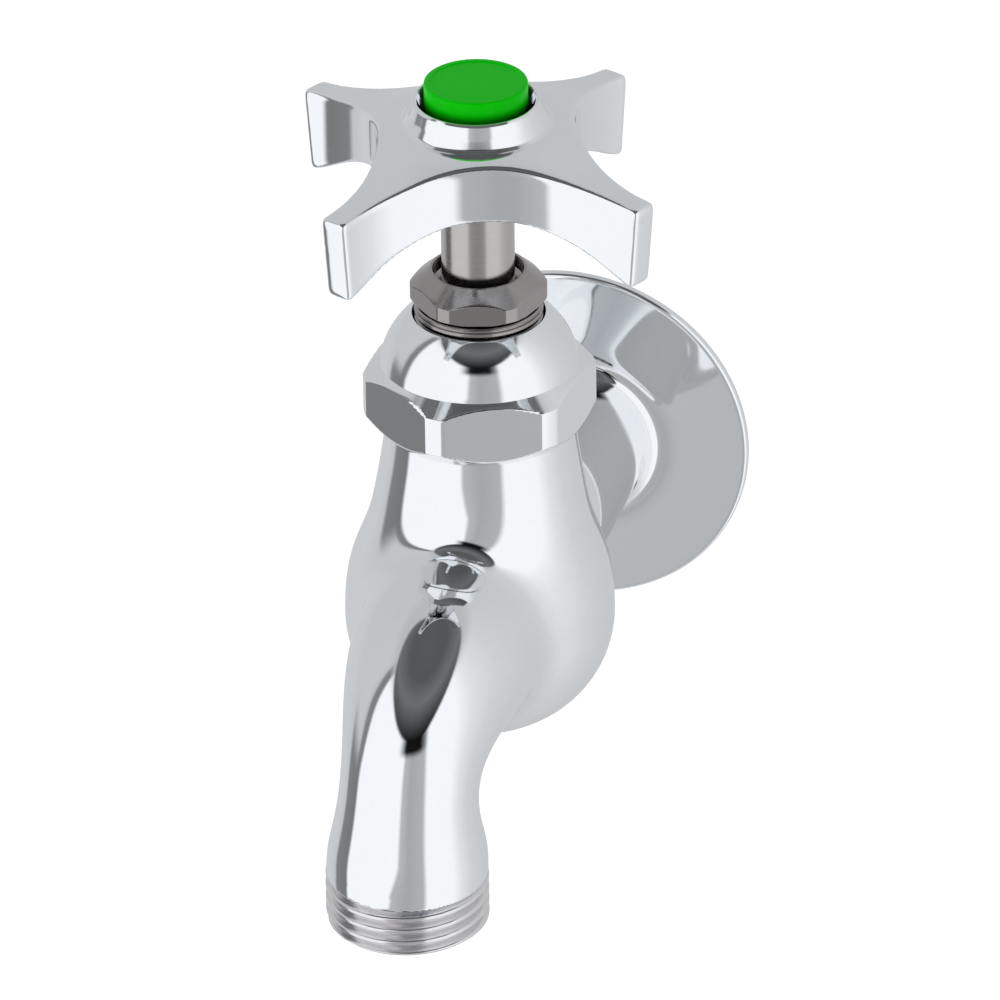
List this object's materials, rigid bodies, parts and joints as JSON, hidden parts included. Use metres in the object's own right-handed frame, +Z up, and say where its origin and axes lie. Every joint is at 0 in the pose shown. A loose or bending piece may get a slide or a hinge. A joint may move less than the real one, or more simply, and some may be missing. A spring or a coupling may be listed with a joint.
{
  "type": "hose bib",
  "caption": "Wall-mounted hose bib with a tapped flanged inlet, four-arm handle, domed cap, rising spindle and a threaded hose outlet.",
  "frame": {"origin": "on the inlet axis at the wall face of the flange", "axes": "+Z up along the spindle towards the handle, +Y along the inlet axis into the wall, the outlet hangs at -Y facing down, +X to the right seen from the front"},
  "size_m": [0.0662, 0.1262, 0.129],
  "materials": {
    "body_chrome": "mirror chrome plate over cast brass, bright and smooth",
    "bare_brass": "turned bare brass",
    "red_fibre": "pressed red-brown fibre sheet",
    "black_rubber": "smooth black nitrile rubber",
    "cap_chrome": "mirror chrome plate over turned brass",
    "dark_nickel": "dull grey-brown plated brass, turned faces",
    "graphite_packing": "braided graphite packing, dull grey-black",
    "spindle_steel": "satin turned steel, fine rings around the shaft",
    "spring_steel": "bright stainless steel",
    "handle_chrome": "mirror chrome plate over forged metal",
    "green_plastic": "glossy moulded green plastic, no lettering"
  },
  "bodies": {
    "housing": {"valve_body": "body_chrome", "removable_seat": "bare_brass", "cartridge_sleeve": "dark_nickel", "sleeve_gasket": "red_fibre", "sleeve_o_ring": "black_rubber", "bonnet_cap": "cap_chrome", "packing_nut": "dark_nickel", "packing_follower": "bare_brass", "packing_ring_upper": "graphite_packing", "packing_ring_middle": "graphite_packing", "packing_ring_lower": "graphite_packing", "packing_base_washer": "bare_brass"},
    "washer_carrier": {"washer_holder": "bare_brass", "seat_washer": "black_rubber", "seat_screw": "bare_brass"},
    "turning_spindle": {"spindle": "spindle_steel", "holder_clip": "spring_steel", "handle": "handle_chrome", "handle_lock_washer": "spring_steel", "handle_screw": "spring_steel", "index_button": "green_plastic"}
  },
  "joints": [
    {"name": "stem_lift", "type": "slide", "parent": "housing", "child": "washer_carrier", "axis": [0, 0, 1], "range_m": [0, 0.00635]},
    {"name": "handle_turn", "type": "hinge", "parent": "washer_carrier", "child": "turning_spindle", "pos_m": [0, -0.063, 0.05], "axis": [0, 0, 1], "range_deg": [0, 720]}
  ],
  "couplings": [
    {"joint": "stem_lift", "follows": "handle_turn", "m_per_rad": 0.00050532}
  ]
}
